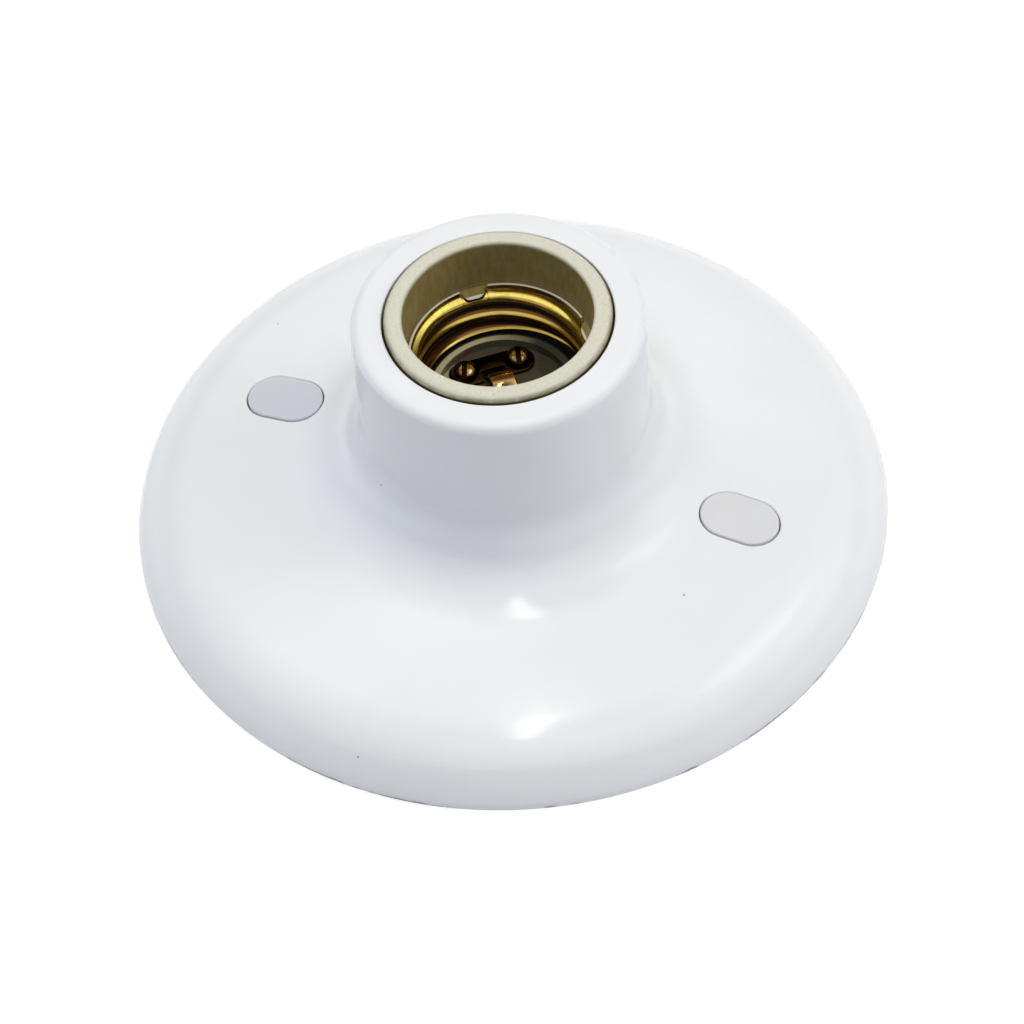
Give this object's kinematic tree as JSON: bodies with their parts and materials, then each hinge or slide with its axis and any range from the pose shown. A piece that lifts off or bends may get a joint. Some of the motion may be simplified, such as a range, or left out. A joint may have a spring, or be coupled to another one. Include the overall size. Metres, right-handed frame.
{
  "type": "ceiling lamp holder",
  "caption": "Round ceiling lamp holder: a white moulded dome and neck around a porcelain screw socket with a threaded brass shell, and lift-out caps over the fixing slots.",
  "frame": {"origin": "centre of the cover's back rim, on the plane that lies against the ceiling", "axes": "+Z along the socket's axis towards the lamp, +X from the axis through the right-hand fixing slot"},
  "size_m": [0.115, 0.115, 0.0435],
  "materials": {
    "cover_plastic": "gloss white moulding",
    "cap_plastic": "satin white moulding",
    "porcelain": "cream, unglazed and lightly soiled",
    "shell_brass": "bright rolled sheet",
    "contact_brass": "tarnished",
    "plated_steel": "zinc plated"
  },
  "bodies": {
    "holder": {"base_cover": "cover_plastic", "centre_contact": "contact_brass", "front_insert_screw": "plated_steel", "left_contact_screw": "contact_brass", "live_terminal": "contact_brass", "live_wire_screw": "plated_steel", "neutral_terminal": "contact_brass", "neutral_wire_screw": "plated_steel", "porcelain_base": "porcelain", "porcelain_sleeve": "porcelain", "rear_insert_screw": "plated_steel", "right_contact_screw": "contact_brass", "screw_shell": "shell_brass", "shell_screw": "contact_brass"},
    "left_cap": {"left_screw_cap": "cap_plastic"},
    "right_cap": {"right_screw_cap": "cap_plastic"}
  },
  "joints": [
    {"name": "left_cap_lift", "type": "slide", "parent": "holder", "child": "left_cap", "axis": [0, 0, 1], "range_m": [0, 0.015]},
    {"name": "right_cap_lift", "type": "slide", "parent": "holder", "child": "right_cap", "axis": [0, 0, 1], "range_m": [0, 0.015]}
  ]
}
